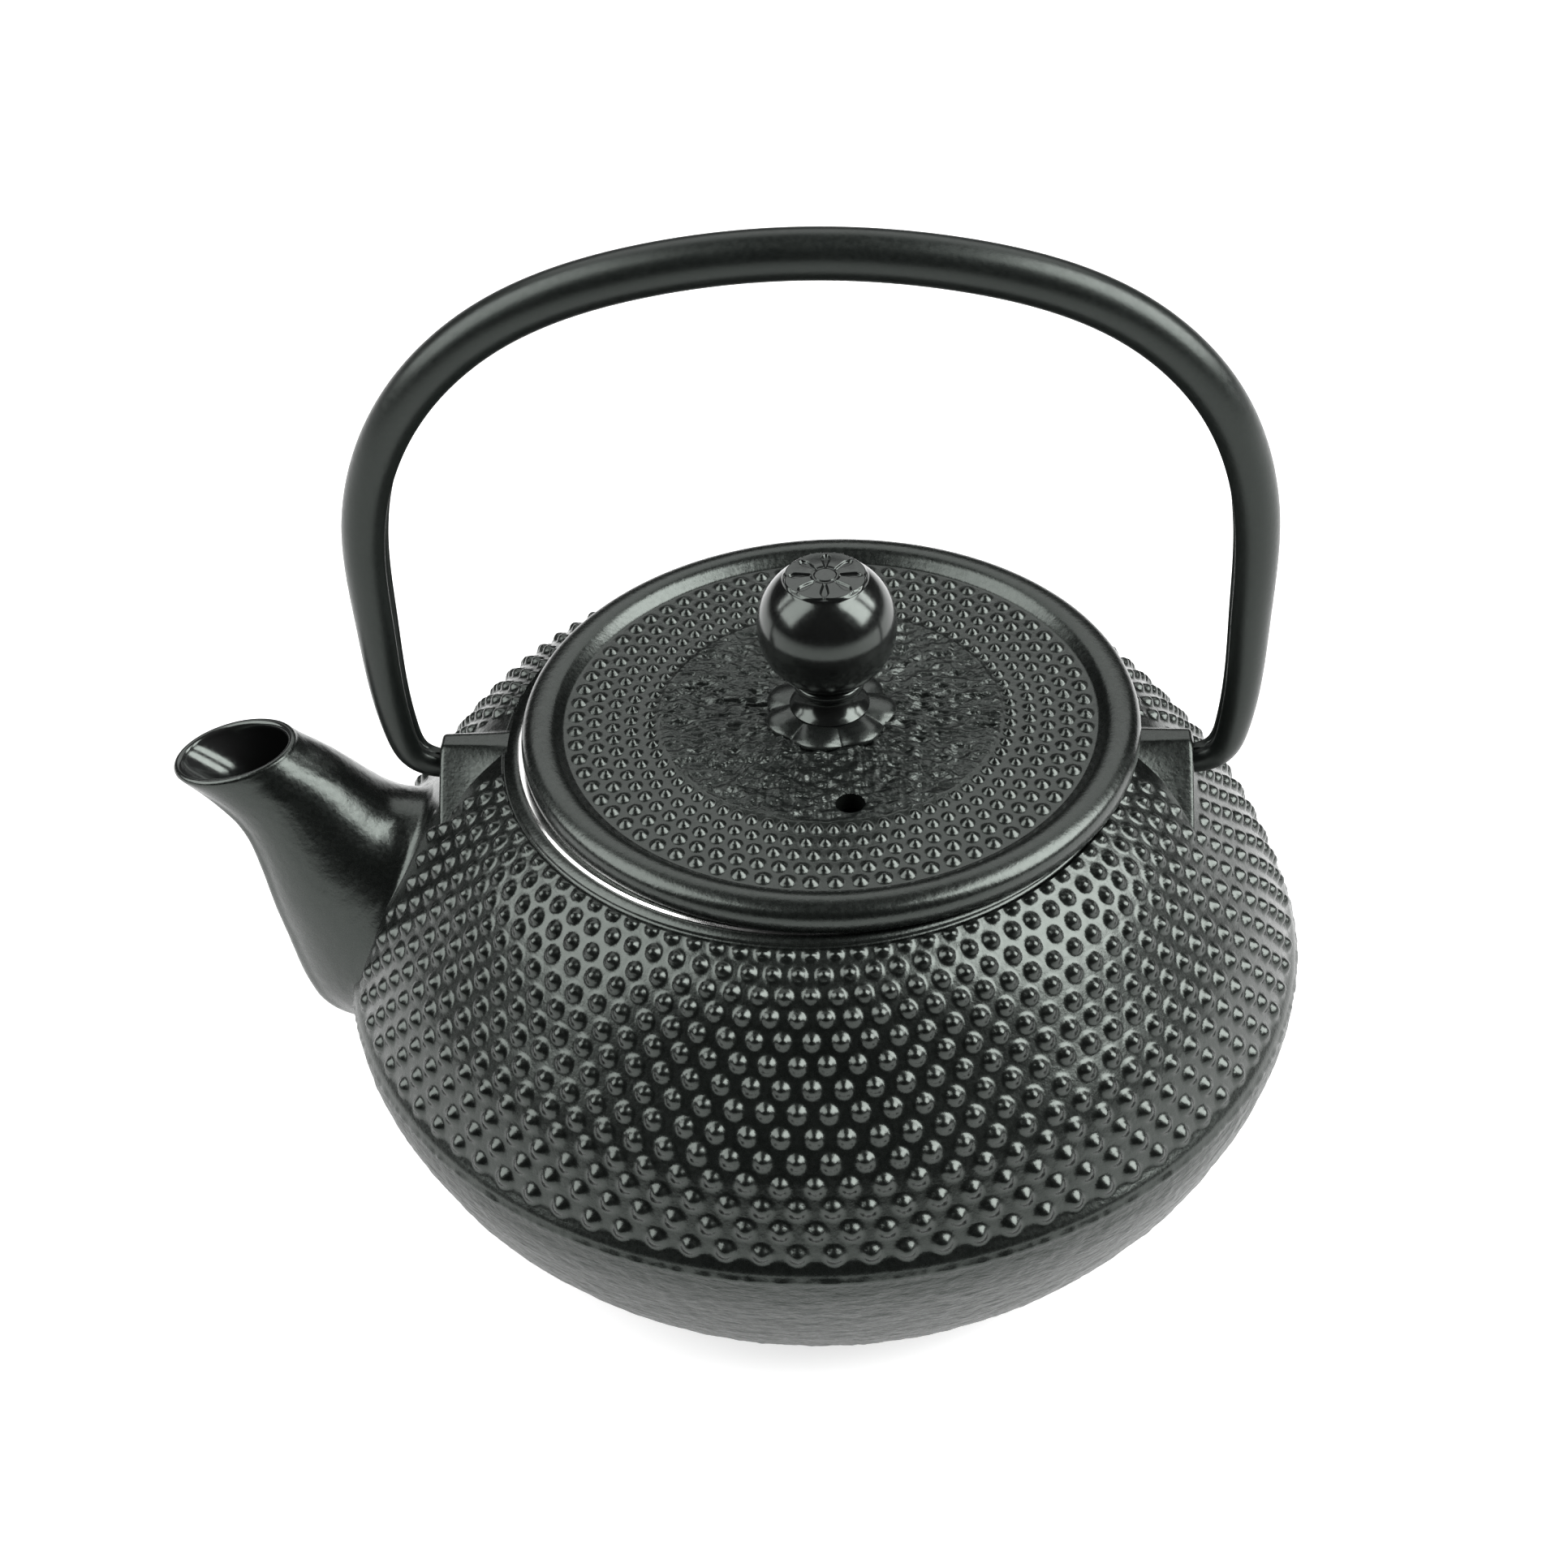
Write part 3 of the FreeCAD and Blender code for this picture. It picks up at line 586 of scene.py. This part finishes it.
lid.make("lid_casting", [IRON, LEATHER, ENAMEL], "lid", "black_iron", "lid")

# ---------------------------------------------------------------- knob and its seat
KNOB_COLS = 384
BALL_Z, BALL_RAD = 98.3, 11.0
knob_turn = np.arange(KNOB_COLS) * TAU / KNOB_COLS
ball_low = math.asin((88.4 - BALL_Z) / BALL_RAD)
ball_high = math.acos(6.75 / BALL_RAD)
swing = np.linspace(ball_high, ball_low, 70)
button = np.linspace(0.12, 6.5, 70)
knob_line = path(
    np.stack([button, np.full(70, 107.35)], axis=1), [(6.62, 107.28), (6.68, 107.08)],
    np.stack([BALL_RAD * np.cos(swing), BALL_Z + BALL_RAD * np.sin(swing)], axis=1),
    [(4.9, 88.3), (5.3, 88.22), (5.62, 87.95), (5.75, 87.4), (5.62, 86.85), (5.3, 86.55), (4.7, 86.45)],
    [(4.35, 86.2), (4.5, 85.5), (4.95, 84.6), (5.6, 83.7), (6.35, 83.1), (6.4, 83.0)])
knob_angle, knob_rad = np.meshgrid(knob_turn, knob_line[:, 0])
petal = np.abs(np.sin(4 * knob_angle))
tear_half = 0.16 + 0.40 * smooth(2.0, 4.9, knob_rad) * smooth(5.9, 4.7, knob_rad)
spoke = np.round(knob_angle / (TAU / 8)) * (TAU / 8)
tear = np.abs(knob_angle - spoke) * knob_rad
tear_cut = smooth(tear_half + 0.22, tear_half - 0.14, tear)
tear_cut = tear_cut * smooth(2.0, 2.5, knob_rad) * smooth(5.8, 5.3, knob_rad)
edge_at = 6.05 + 0.42 * petal ** 0.7
disc = 0.30 * smooth(edge_at + 0.14, edge_at - 0.14, knob_rad) + 0.14 * smooth(6.4, 2.5, knob_rad)
middle = 0.36 * smooth(1.75, 1.15, knob_rad) - 0.34 * smooth(0.62, 0.2, knob_rad)
rosette = disc - 0.42 * tear_cut + middle - 0.16 * smooth(1.5, 1.9, knob_rad) * smooth(2.5, 2.0, knob_rad)
is_disc = (np.arange(len(knob_line)) < 71)[:, None]
knob_z = np.minimum(knob_line[:, 1][:, None] + rosette * is_disc, 107.78)
knob = Shell()
knob_first = knob.grid(turned(knob_line[:, 0], knob_z, knob_turn, (LID_X, LID_Y)))
knob.fan(knob_first + np.arange(KNOB_COLS), (LID_X, LID_Y, float(knob_z[0].mean())), flip=True)
knob_last = knob_first + (len(knob_line) - 1) * KNOB_COLS + np.arange(KNOB_COLS)
knob.fan(knob_last, (LID_X, LID_Y, 83.0))
knob.make("knob_ball", [GLOSS], "lid", "black_gloss", "lid_knob")

seat_turn = np.arange(256) * TAU / 256
lobes = 9.5 + 1.35 * np.sqrt(np.abs(np.cos(3.5 * seat_turn)) ** 2 + 0.03)
share = np.linspace(0.04, 1.0, 34)
seat_angle, seat_share = np.meshgrid(seat_turn, share)
seat_r = lobes[None, :] * seat_share
dent = 0.55 * (1 - np.abs(np.cos(3.5 * seat_angle))) ** 1.5 * smooth(0.5, 0.9, seat_share)
seat_z = 81.42 + 1.56 * np.sqrt(np.clip(1 - np.clip((seat_share - 0.45) / 0.55, 0, 1) ** 2.4, 0, 1)) - dent
seat_z = np.maximum(seat_z, 81.42)
seat = Shell()
seat_first = seat.grid(turned(seat_r, seat_z, seat_turn, (LID_X, LID_Y)))
seat.fan(seat_first + np.arange(256), (LID_X, LID_Y, 82.98), flip=True)
seat.fan(seat_first + 33 * 256 + np.arange(256), (LID_X, LID_Y, 81.42))
seat.make("knob_rosette", [SATIN], "lid", "black_gloss", "knob_seat")

# ---------------------------------------------------------------- bail handle
LEAN = 1.4
half_line = [
    (57.0, 71.8, 0.0), (60.6, 71.8, 0.0), (64.6, 73.6, 0.0), (66.5, 78.5, 0.0), (67.8, 100.0, 0.0),
    (67.4, 118.0, 0.1), (60.6, 138.0, 0.6), (46.6, 152.3, 0.95), (23.0, 161.2, 1.0),
]
route = [(-x + LEAN * s, z) for x, z, s in half_line] + [(LEAN, 163.5)] + \
    [(x + LEAN * s, z) for x, z, s in half_line[::-1]]
STATIONS = 420
run = spline(route, STATIONS)
tangent = np.gradient(run, axis=0)
tangent /= np.linalg.norm(tangent, axis=1)[:, None]
inner = np.stack([-tangent[:, 1], tangent[:, 0]], axis=1)
inner *= np.sign(((np.array([0.0, 100.0]) - run) * inner).sum(axis=1))[:, None]
rise = np.clip((run[:, 1] - HINGE_Z) / (118.0 - HINGE_Z), 0, 1) ** 0.5
deep, wide = 2.3 + 1.55 * rise, 2.3 + 1.45 * rise
gap = math.radians(36)
arc_angles = np.linspace(gap, TAU - gap, 56)
section = []
for k in range(STATIONS):
    ring = np.stack([deep[k] * np.cos(arc_angles), wide[k] * np.sin(arc_angles)], axis=1)
    open_by = rise[k]
    mouth_half, bottom = 1.75 * open_by + 0.03, deep[k] - 3.4 * open_by - 0.02
    lip_in = deep[k] * math.cos(gap)
    lip_out = wide[k] * math.sin(gap)
    curl = np.linspace(0, 1, 7)[1:]
    right_side = np.stack([lip_in + 0.16 * open_by * np.sin(curl * math.pi / 2) - 0.5 * open_by * curl ** 2,
                           mouth_half + (lip_out - mouth_half) * (1 - curl) ** 1.6], axis=1)
    floor = np.array([(bottom + 0.35 * open_by, mouth_half), (bottom, mouth_half * 0.55),
                      (bottom, -mouth_half * 0.55), (bottom + 0.35 * open_by, -mouth_half)])
    closing = np.concatenate([right_side * (1, -1), floor[::-1], right_side[::-1]])
    section.append(np.concatenate([ring, closing]))
section = np.array(section)
bar_grid = np.stack([
    run[:, 0][:, None] + inner[:, 0][:, None] * section[..., 0], section[..., 1],
    run[:, 1][:, None] + inner[:, 1][:, None] * section[..., 0]], axis=2)
handle = Shell()
bar_flip = not outward(bar_grid[200:204])
bar_first = handle.grid(bar_grid, flip=bar_flip)
per = bar_grid.shape[1]
handle.fan(bar_first + np.arange(per), (-56.9, 0, HINGE_Z), flip=not bar_flip)
handle.fan(bar_first + (STATIONS - 1) * per + np.arange(per), (56.9, 0, HINGE_Z), flip=bar_flip)
handle.make("bail_bar", [BAR], "handle", "handle_steel", "bail_handle")

# ---------------------------------------------------------------- infuser
HOLES, TIERS, PITCH, LOW = 142, 16, 1.78, 36.9
outer_rad, inner_rad = 40.66, 40.24
cell = TAU / HOLES
infuser = Shell()
octagon = np.arange(8) * TAU / 8
square = np.array([(1, 0), (1, 1), (0, 1), (-1, 1), (-1, 0), (-1, -1), (0, -1), (1, -1)]) * 0.5
round_hole = np.stack([np.cos(octagon), np.sin(octagon)], axis=1) * 0.5
column, tier = np.meshgrid(np.arange(HOLES), np.arange(TIERS))
mid_angle, mid_z = (column.ravel() + 0.5) * cell, LOW + (tier.ravel() + 0.5) * PITCH


def cell_ring(radius, square_side):
    if square_side:
        a = mid_angle[:, None] + square[:, 0] * cell
        z = mid_z[:, None] + square[:, 1] * PITCH
    else:
        a = mid_angle[:, None] + round_hole[:, 0] / radius
        z = mid_z[:, None] + round_hole[:, 1]
    return np.stack([radius * np.cos(a), radius * np.sin(a), z], axis=2)


stack = np.stack([cell_ring(outer_rad, True), cell_ring(outer_rad, False),
                  cell_ring(inner_rad, False), cell_ring(inner_rad, True)], axis=1)
one = quads(4, 8)
offsets = np.arange(len(mid_angle))[:, None, None] * 32
infuser.add(stack, (one[None] + offsets).reshape(-1, 4)[:, ::-1])
strip_turn = np.arange(HOLES * 2) * TAU / (HOLES * 2)
high_edge = LOW + TIERS * PITCH
for low_z, high_z, is_low in ((35.2, LOW, True), (high_edge, 76.0, False)):
    loop = [(outer_rad, high_z), (outer_rad, low_z), (inner_rad, low_z), (inner_rad, high_z)] if is_low else \
        [(inner_rad, low_z), (inner_rad, high_z), (outer_rad, high_z), (outer_rad, low_z)]
    loop = np.array(loop)
    infuser.grid(turned(loop[:, 0], loop[:, 1], strip_turn))
infuser.make("infuser_screen", [FINE_STEEL], "infuser", "steel", "infuser_wall")

# The pieces left as CAD made them only get a material.
PLAIN = (("infuser_rim", FINE_STEEL), ("infuser_base", STEEL), ("knob_washer", STEEL), ("knob_screw", STEEL))
for node, mat in PLAIN:
    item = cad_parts[node]
    if not item.material_slots:
        item.data.materials.append(mat)
    for place in item.material_slots:
        place.material = mat

# ---------------------------------------------------------------- floor, light and camera
floor_mesh = bpy.data.meshes.new("floor")
floor_mesh.from_pydata([(-4, -4, 0), (4, -4, 0), (4, 4, 0), (-4, 4, 0)], [], [(0, 1, 2, 3)])
floor = bpy.data.objects.new("floor", floor_mesh)
bpy.context.scene.collection.objects.link(floor)
floor_mat = bpy.data.materials.new("pale_floor")
floor_mat.use_nodes = True
floor_shader = floor_mat.node_tree.nodes["Principled BSDF"]
floor_shader.inputs["Base Color"].default_value = (0.52, 0.52, 0.52, 1)
floor_shader.inputs["Roughness"].default_value = 0.9
floor_shader.inputs["Specular IOR Level"].default_value = 0.1
floor_shader.inputs["Emission Color"].default_value = (1, 1, 1, 1)
floor_shader.inputs["Emission Strength"].default_value = 0.72
floor_mesh.materials.append(floor_mat)

world = bpy.data.worlds.new("studio")
world.use_nodes = True
world.node_tree.nodes["Background"].inputs["Color"].default_value = (1, 1, 1, 1)
world.node_tree.nodes["Background"].inputs["Strength"].default_value = 0.02
bpy.context.scene.world = world


def soft_light(name, azimuth, elevation, distance, width, height, power, aim=(0, 0, 0.06)):
    a, e = math.radians(azimuth), math.radians(elevation)
    back = Vector((math.sin(a) * math.cos(e), -math.cos(a) * math.cos(e), math.sin(e)))
    data = bpy.data.lights.new(name, "AREA")
    data.shape, data.size, data.size_y, data.energy = "RECTANGLE", width, height, power
    lamp = bpy.data.objects.new(name, data)
    lamp.location = Vector(aim) + back * distance
    lamp.rotation_mode = "QUATERNION"
    lamp.rotation_quaternion = (-back).to_track_quat("-Z", "Y")
    bpy.context.scene.collection.objects.link(lamp)


soft_light("soft_left", -82, 42, 1.1, 0.9, 1.0, 19)
soft_light("soft_right", 86, 42, 1.1, 0.9, 1.0, 36)
soft_light("soft_back", 183, 48, 1.5, 1.8, 0.9, 10)

AZ, EL, DIST = math.radians(3.0), math.radians(41.48), 0.48026
YAW, PITCH_UP, ROLL = math.radians(0.65), math.radians(2.52), math.radians(2.22)
back = Vector((math.sin(AZ) * math.cos(EL), -math.cos(AZ) * math.cos(EL), math.sin(EL)))


def spin(v, axis, by):
    return v * math.cos(by) + axis.cross(v) * math.sin(by) + axis * axis.dot(v) * (1 - math.cos(by))


ahead = -back
right = ahead.cross(Vector((0, 0, 1))).normalized()
up = right.cross(ahead)
ahead, right = spin(ahead, up, YAW), spin(right, up, YAW)
ahead, up = spin(ahead, right, PITCH_UP), spin(up, right, PITCH_UP)
right, up = spin(right, ahead, ROLL), spin(up, ahead, ROLL)
camera_data = bpy.data.cameras.new("camera")
camera_data.sensor_width, camera_data.lens = 36.0, 3500 / 1932 * 36.0
camera_data.clip_start, camera_data.clip_end = 0.01, 20
camera = bpy.data.objects.new("camera", camera_data)
camera.location = Vector((0, 0, 0.04)) + back * DIST
camera.rotation_mode = "QUATERNION"
camera.rotation_quaternion = Matrix((right, up, -ahead)).transposed().to_quaternion()
bpy.context.scene.collection.objects.link(camera)
bpy.context.scene.camera = camera
bpy.context.scene.view_settings.view_transform = "Standard"
